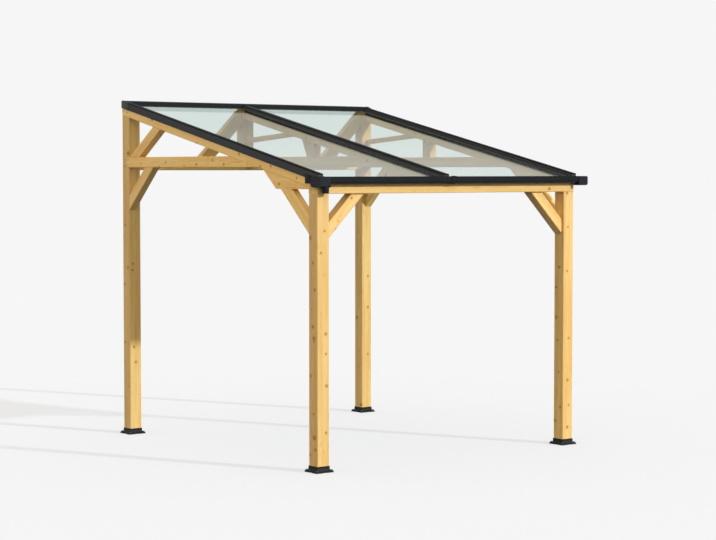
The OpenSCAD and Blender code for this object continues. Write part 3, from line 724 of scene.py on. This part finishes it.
def glass_material():
    """Float glass. Light on its way to another piece passes through it unbent: a share of
    the sun, and a larger share of the fill."""
    m, tree, shader, place = new_material("roof_glass")
    shader.inputs["Base Color"].default_value = (0.68, 0.785, 0.75, 1)
    shader.inputs["Transmission Weight"].default_value = 1
    shader.inputs["IOR"].default_value = 1.05
    marks = noise(tree, place, MARK_SCALE, 6, 0.6)
    wire(tree, ramp(tree, marks, 0.35, 0.8, 0.0, MARK_ROUGH), shader.inputs["Roughness"])
    film = ramp(tree, parts_of(tree, place)["Y"], FILM_FULL, FILM_NONE, FILM, 0.0)
    wire(tree, film, shader.inputs["Coat Weight"])
    shader.inputs["Coat Roughness"].default_value = FILM_ROUGH
    clear = tree.nodes.new("ShaderNodeBsdfTransparent")
    path = tree.nodes.new("ShaderNodeLightPath").outputs
    wire(tree, blend(tree, path["Is Diffuse Ray"], SUN_THROUGH, FILL_THROUGH),
         clear.inputs["Color"])
    light = math_node(tree, "MAXIMUM", path["Is Shadow Ray"], path["Is Diffuse Ray"])
    end_with_mix(tree, light, shader, clear, tree.nodes["Material Output"])
    return m


dress(("left_glass", "right_glass"), glass_material())


# ---- roof profiles and gutter ----------------------------------------------------------
# The glazing bar, the two edge profiles, the wall profile and the gutter are extruded
# aluminium with an anthracite powder coat. On the bars the faces that look up are painted
# near black, darker than the slate sides, as painted shade. The hopper, the stop
# end and the outlet of the gutter are moulded in black.
PALE_DUST, GREY_DUST = (0.16, 0.16, 0.155, 1), (0.12, 0.12, 0.12, 1)
anthracite = coated("anthracite_coat", (0.008, 0.009, 0.011, 1), PALE_DUST,
                    peel=1500, peel_depth=0.00006, dust=0.05, rough=0.42, gloss=0.08)
dress(("wall_profile", "gutter", "gutter_joint"), anthracite)
# the near black top of the bars is painted shade on their upward faces
dress(("left_edge_profile", "middle_glazing_bar", "right_edge_profile"),
      coated("roof_bar_coat_painted_shade", (0.062, 0.065, 0.073, 1), PALE_DUST,
             peel=1500, peel_depth=0.00006, dust=0.05, rough=0.5, gloss=0.03,
             top=(0.003, 0.003, 0.004, 1)))
dress(("gutter_left_cap", "gutter_right_cap", "gutter_outlet"),
      coated("moulded_black", (0.009, 0.011, 0.017, 1), GREY_DUST,
             peel=2200, peel_depth=0.00005, dust=0.05, rough=0.42, gloss=0.12))


# ---- glazing seals ---------------------------------------------------------------------
# A black rubber strip closes the joint between the glass and each metal bar that lies on
# it. The strips are extruded, lie on the glass close against the bars, and are rounded.
SEAL_WIDE, SEAL_TALL, SEAL_ROUND = 0.026, 0.003, 0.0016
RUBBER, BLOOM = (0.030, 0.033, 0.036, 1), (0.05, 0.052, 0.055, 1)
BLOOM_SCALE, RUBBER_GRAIN, RUBBER_DEPTH = 40, 900, 0.0001
bar_low, bar_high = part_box("middle_glazing_bar")
left_low, left_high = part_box("left_edge_profile")
right_low, right_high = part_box("right_edge_profile")
wall_low, wall_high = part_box("wall_profile")
run_up = (wall_low.y - bar_low.y) / math.cos(pitch)


def roof_level(y):
    """The height of the top of the glass."""
    return pane_high.z - (pane_high.y - y) * math.tan(pitch)


def roof_place(x, y, rise=0.0):
    """A place on the top of the glass: its Y runs up the slope, its Z stands square."""
    return (Matrix.Translation((x, y, roof_level(y))) @ Matrix.Rotation(pitch, 4, "X")
            @ Matrix.Translation((0, 0, rise)))


def block(wide, deep, tall, middle_x=0.0, start_y=0.0, start_z=0.0):
    """A block that starts at a depth and a height, ready to be shaped."""
    start_fresh()
    bpy.ops.mesh.primitive_cube_add(
        size=1, location=(middle_x, start_y + deep / 2, start_z + tall / 2),
        scale=(wide, deep, tall))
    bpy.ops.object.transform_apply(location=True, rotation=True, scale=True)
    return bpy.context.object


def runs(edge, axis):
    """Tells whether an edge runs along an axis."""
    line = edge.verts[1].co - edge.verts[0].co
    return abs(line[axis]) > 0.9 * line.length


def rubber_material():
    """Matt black rubber with a cloudy grey bloom."""
    m, tree, shader, place = new_material("black_rubber")
    shader.inputs["Specular IOR Level"].default_value = 0.3
    bloom = noise(tree, place, BLOOM_SCALE, 5)
    wire(tree, blend(tree, ramp(tree, bloom, 0.35, 0.75), RUBBER, BLOOM),
         shader.inputs["Base Color"])
    wire(tree, ramp(tree, bloom, 0.3, 0.7, 0.55, 0.75), shader.inputs["Roughness"])
    bump(tree, shader, noise(tree, place, RUBBER_GRAIN, 2), RUBBER_DEPTH)
    return m


rubber = rubber_material()


def seal(name, length, place):
    """One strip of seal, its upper edges rounded, set in its place."""
    strip = block(SEAL_WIDE, length, SEAL_TALL)
    pick(strip, "EDGE", lambda e: runs(e, 1) and middle(e).z > SEAL_TALL / 2)
    bpy.ops.mesh.bevel(offset=SEAL_ROUND, segments=3)
    start_fresh()
    strip.data.transform(place)
    settle(strip, name, rubber)


for name, x in (("left_edge_seal", left_high.x + SEAL_WIDE / 2),
                ("left_bar_seal", bar_low.x - SEAL_WIDE / 2),
                ("right_bar_seal", bar_high.x + SEAL_WIDE / 2),
                ("right_edge_seal", right_low.x - SEAL_WIDE / 2)):
    seal(name, run_up, roof_place(x, bar_low.y))
for name, x0, x1 in (("left_wall_seal", left_high.x, bar_low.x),
                     ("right_wall_seal", bar_high.x, right_low.x)):
    seal(name, x1 - x0 - 2 * SEAL_WIDE,
         roof_place(x0 + SEAL_WIDE, wall_low.y - SEAL_WIDE / 2)
         @ Matrix.Rotation(-math.pi / 2, 4, "Z"))


# ---- bearing strips --------------------------------------------------------------------
# The panes lie on thin black rubber that keeps rain off the rafters. It is a strip that is
# folded down over both edges of each rafter, and it shows through the glass.
PANE_THICK, BEARING_TALL, BEARING_SKIN = 0.008, 0.023, 0.0008
BEARING_SHORT, BEARING_PROUD, BEARING_LIFT, BEARING_EDGE = 0.002, 0.0003, 0.0001, 0.0003
for side in ("left", "middle", "right"):
    rafter_low, rafter_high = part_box(side + "_rafter")
    long = (rafter_high.y - rafter_low.y - 2 * BEARING_SHORT) / math.cos(pitch)
    strip = block(rafter_high.x - rafter_low.x + 2 * BEARING_PROUD, long, BEARING_TALL)
    pick(strip, "FACE", lambda f: f.normal.z < -0.9)
    bpy.ops.mesh.inset(thickness=BEARING_SKIN, depth=0)
    extrude(0, 0, BEARING_TALL - BEARING_SKIN)
    pick(strip, "EDGE", lambda e: runs(e, 1) and middle(e).z > BEARING_TALL * 0.99)
    bpy.ops.mesh.bevel(offset=BEARING_EDGE, segments=2)
    start_fresh()
    strip.data.transform(roof_place((rafter_low.x + rafter_high.x) / 2,
                                    rafter_low.y + BEARING_SHORT,
                                    BEARING_LIFT - PANE_THICK - BEARING_TALL))
    settle(strip, side + "_bearing_strip", rubber)


# ---- cover strips ----------------------------------------------------------------------
# A black strip is pushed onto the top of the glazing bar and of each edge profile, over
# the screws that clamp the glass. It is extruded plastic with a low crown.
STRIP_TALL, STRIP_INSET, STRIP_SINK, STRIP_SHORT = 0.008, 0.001, 0.0004, 0.004
STRIP_CROWN, STRIP_EDGE = 0.006, 0.001
BAR_TALL, EDGE_TALL = 0.025, 0.030  # above the glass
LEDGE = 0.014  # width of the lower part of an edge profile, beside its raised part
strip_black = coated("cover_strip_black", (0.006, 0.006, 0.007, 1), (0.10, 0.10, 0.098, 1),
                     peel=1800, peel_depth=0.00004, dust=0.03, rough=0.5, gloss=0.05)
for name, x0, x1, rise in (
        ("left_cover_strip", left_low.x, left_high.x - LEDGE, EDGE_TALL),
        ("middle_cover_strip", bar_low.x, bar_high.x, BAR_TALL),
        ("right_cover_strip", right_low.x + LEDGE, right_high.x, EDGE_TALL)):
    strip = block(x1 - x0 - 2 * STRIP_INSET, run_up - STRIP_SHORT, STRIP_TALL)
    pick(strip, "EDGE", lambda e: runs(e, 1) and middle(e).z > STRIP_TALL / 2)
    bpy.ops.mesh.bevel(offset=STRIP_CROWN, segments=5)
    pick(strip, "EDGE", lambda e: not runs(e, 1) and middle(e).y < 0.001
         and middle(e).z > STRIP_TALL * 0.1)
    bpy.ops.mesh.bevel(offset=STRIP_EDGE, segments=2)
    start_fresh()
    strip.data.transform(roof_place((x0 + x1) / 2, bar_low.y, rise - STRIP_SINK))
    settle(strip, name, strip_black)


# ---- end caps of the roof bars ---------------------------------------------------------
# Moulded plates close the open low ends of the glazing bar and of the edge profiles. Each
# follows the outline of its bar and is held by one small screw.
CAP_THICK, CAP_LIFT, CAP_RIM = 0.0025, 0.0004, 0.0006
BAR_CORNER, EDGE_CORNER = 0.006, 0.004
SMALL_HEAD, SMALL_HEAD_THICK, HEAD_PROUD = 0.004, 0.0016, 0.0004


def screw(head, thick):
    """A flat screw head with a six-lobed drive, facing forward."""
    rim, dish, rim_drop, drive_deep, lobe = 0.12, 0.36, 0.35, 0.6, 0.7
    ring = head * (1 - rim - dish)
    start_fresh()
    bpy.ops.mesh.primitive_cylinder_add(vertices=12, radius=head, depth=thick)
    piece = bpy.context.object
    pick(piece, "FACE", lambda f: f.normal.z > 0.9)
    bpy.ops.mesh.inset(thickness=head * rim, depth=0)
    bpy.ops.mesh.inset(thickness=head * dish, depth=0)
    pick(piece, "EDGE", lambda e: middle(e).xy.length > head * 0.9 and middle(e).z > 0
         and not runs(e, 2))
    bpy.ops.transform.translate(value=(0, 0, -thick * rim_drop))
    pick(piece, "FACE", lambda f: f.normal.z > 0.9 and middle(f).xy.length < head * 0.1)
    extrude(0, 0, -thick * drive_deep)
    notches = open_mesh(piece, "VERT")
    for v in notches.verts:
        step = round(math.atan2(v.co.y, v.co.x) / (math.pi / 6))
        if v.co.xy.length < ring * 1.05 and step % 2:
            v.select_set(True)
    notches.select_flush_mode()
    bmesh.update_edit_mesh(piece.data)
    bpy.ops.transform.resize(value=(lobe, lobe, 1), center_override=(0, 0, 0))
    start_fresh()
    piece.data.transform(Matrix.Rotation(math.pi / 2, 4, "X"))
    return piece


plastic = coated("cap_plastic", (0.012, 0.013, 0.016, 1), (0.12, 0.12, 0.115, 1),
                 peel=1800, peel_depth=0.00004, dust=0.1, rough=0.5, gloss=0.3)
small_screw = screw(SMALL_HEAD, SMALL_HEAD_THICK)


def finish_cap(plate, name, x, y, tall):
    """Rounds a plate's rim, puts its screw in and sets it on the end of its bar."""
    pick(plate, "EDGE", lambda e: not runs(e, 1) and middle(e).y < -CAP_THICK * 0.9
         and e.is_manifold)
    bpy.ops.mesh.bevel(offset=CAP_RIM, segments=2)
    start_fresh()
    spot = (0, -CAP_THICK - HEAD_PROUD, tall * 0.45)
    head = copy_to(small_screw, Matrix.Translation(spot))
    whole = join([plate, head])
    whole.data.transform(Matrix.Translation((x, y, roof_level(y) + CAP_LIFT)))
    settle(whole, name, plastic)


bar_plumb = BAR_TALL / math.cos(pitch)
plate = block(bar_high.x - bar_low.x, CAP_THICK, bar_plumb, start_y=-CAP_THICK)
pick(plate, "EDGE", lambda e: runs(e, 1) and middle(e).z > bar_plumb / 2)
bpy.ops.mesh.bevel(offset=BAR_CORNER, segments=5)
finish_cap(plate, "middle_bar_end_cap", (bar_low.x + bar_high.x) / 2, bar_low.y, bar_plumb)

edge_plumb = EDGE_TALL / math.cos(pitch)
edge_wide = left_high.x - left_low.x - LEDGE
for name, side, x in (("left_edge_end_cap", 1, left_low.x + edge_wide / 2),
                      ("right_edge_end_cap", -1, right_high.x - edge_wide / 2)):
    plate = block(edge_wide, CAP_THICK, edge_plumb, start_y=-CAP_THICK)
    pick(plate, "FACE")
    bpy.ops.mesh.bisect(plane_co=(0, 0, edge_plumb / 2), plane_no=(0, 0, 1))
    pick(plate, "FACE", lambda f: f.normal.x * side > 0.9 and middle(f).z < edge_plumb / 2)
    extrude(side * LEDGE, 0, 0)
    pick(plate, "EDGE", lambda e: runs(e, 1) and middle(e).z > edge_plumb * 0.9)
    bpy.ops.mesh.bevel(offset=EDGE_CORNER, segments=4)
    finish_cap(plate, name, x, left_low.y, edge_plumb)
drop(small_screw)


# ---- skirt clips -----------------------------------------------------------------------
# Where each outer skirt stops short of the gutter, a folded metal clip hangs from the
# edge profile and grips the side of the rafter. Its top is cut to the slope of the roof.
CLIP_METAL, CLIP_LIP, CLIP_EDGE = 0.0025, 0.0032, 0.0008
CLIP_FRONT, CLIP_BACK, CLIP_LOW = 0.072, 0.159, 2.291
CLIP_SINK, CLIP_SPARE = 0.001, 0.01
ROOF_NORMAL = (0, -math.sin(pitch), math.cos(pitch))
for name, side, outer in (("left_skirt_clip", 1, left_low.x),
                          ("right_skirt_clip", -1, right_high.x)):
    top = roof_place(0, post_low.y + CLIP_BACK, -CLIP_SINK).translation
    clip = block(CLIP_METAL, CLIP_BACK - CLIP_FRONT, top.z - CLIP_LOW + CLIP_SPARE,
                 outer + side * CLIP_METAL / 2, post_low.y + CLIP_FRONT, CLIP_LOW)
    pick(clip, "FACE")
    bpy.ops.mesh.bisect(plane_co=top, plane_no=ROOF_NORMAL, clear_outer=True, use_fill=True)
    pick(clip, "FACE")
    bpy.ops.mesh.bisect(plane_co=(0, 0, CLIP_LOW + CLIP_METAL), plane_no=(0, 0, 1))
    pick(clip, "FACE", lambda f: f.normal.x * side > 0.9
         and middle(f).z < CLIP_LOW + CLIP_METAL)
    extrude(side * CLIP_LIP, 0, 0)
    use_modifier(clip, "BEVEL", width=CLIP_EDGE, segments=2, limit_method="ANGLE")
    settle(clip, name, anthracite)


# ---- corner covers ---------------------------------------------------------------------
# A moulded cover closes each high corner, where the wall profile and an edge profile
# meet. Its top falls away to the front, and its foot follows the slope of the roof.
COVER_DEEP, COVER_THICK, COVER_DROP = 0.125, 0.0035, 0.030
COVER_LEVEL, COVER_FALL, COVER_ROUND = 0.048, math.radians(20), 0.014
COVER_SPARE, COVER_EDGE = 0.05, 0.0012
cover_plastic = coated("cover_plastic", (0.030, 0.036, 0.035, 1), (0.16, 0.16, 0.15, 1),
                       peel=1800, peel_depth=0.00005, dust=0.2, rough=0.5, gloss=0.3)
for name, side, outer in (("left_corner_cover", -1, left_low.x),
                          ("right_corner_cover", 1, right_high.x)):
    foot = roof_place(0, wall_high.y, -COVER_DROP).translation
    tall = wall_high.z - foot.z + COVER_SPARE
    cover = block(COVER_THICK, COVER_DEEP, tall, outer + side * COVER_THICK / 2,
                  wall_high.y - COVER_DEEP, wall_high.z - tall)
    pick(cover, "FACE")
    bpy.ops.mesh.bisect(plane_co=foot, plane_no=ROOF_NORMAL, clear_inner=True, use_fill=True)
    pick(cover, "FACE")
    bpy.ops.mesh.bisect(plane_co=(0, wall_high.y - COVER_LEVEL, wall_high.z),
                        plane_no=(0, -math.sin(COVER_FALL), math.cos(COVER_FALL)),
                        clear_outer=True, use_fill=True)
    pick(cover, "EDGE", lambda e: runs(e, 0) and middle(e).z > wall_high.z - 0.001)
    bpy.ops.mesh.bevel(offset=COVER_ROUND, segments=6)
    use_modifier(cover, "BEVEL", width=COVER_EDGE, segments=2, limit_method="ANGLE",
                 angle_limit=math.radians(50))
    settle(cover, name, cover_plastic)


# ---- timber screws ---------------------------------------------------------------------
# Long screws with flat heads hold each side frame together: in the rear end of the tie, in
# the low end of the rafter, and where the rafter meets the rear post. Their zinc is dull.
TIMBER_HEAD, TIMBER_HEAD_THICK = 0.0065, 0.002
TIE_END, TIE_SPREAD, POST_SPREAD = 0.02, 0.024, 0.030
RAFTER_SPOTS = (0.060, 0.26)  # back from the low end of a rafter
RAFTER_MIDDLE = 0.045  # from the lower or the upper face of a rafter, measured plumb
dull_zinc = plated("dull_zinc", (0.30, 0.28, 0.25, 1), 0.45)
big_screw = screw(TIMBER_HEAD, TIMBER_HEAD_THICK)

for side, face in (("left", -1), ("right", 1)):
    tie_low, tie_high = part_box(side + "_tie")
    rear_low, rear_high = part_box("rear_" + side + "_post")
    rafter_low, rafter_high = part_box(side + "_rafter")
    tie_middle = (tie_low.z + tie_high.z) / 2
    spots = [(tie_high.y - TIE_END, tie_middle + rise) for rise in (-TIE_SPREAD, TIE_SPREAD)]
    for back in RAFTER_SPOTS:
        spots.append((rafter_low.y + back,
                      rafter_low.z + RAFTER_MIDDLE + back * math.tan(pitch)))
    for aside in (-POST_SPREAD, POST_SPREAD):
        y = (rear_low.y + rear_high.y) / 2 + aside
        spots.append((y, rafter_high.z - RAFTER_MIDDLE - (rafter_high.y - y) * math.tan(pitch)))
    outer = (tie_low.x if face < 0 else tie_high.x) + face * HEAD_PROUD
    turn = Vector((0, -1, 0)).rotation_difference(Vector((face, 0, 0))).to_matrix().to_4x4()
    heads = [copy_to(big_screw, Matrix.Translation((outer, y, z)) @ turn) for y, z in spots]
    settle(join(heads), side + "_frame_screws", dull_zinc)
drop(big_screw)
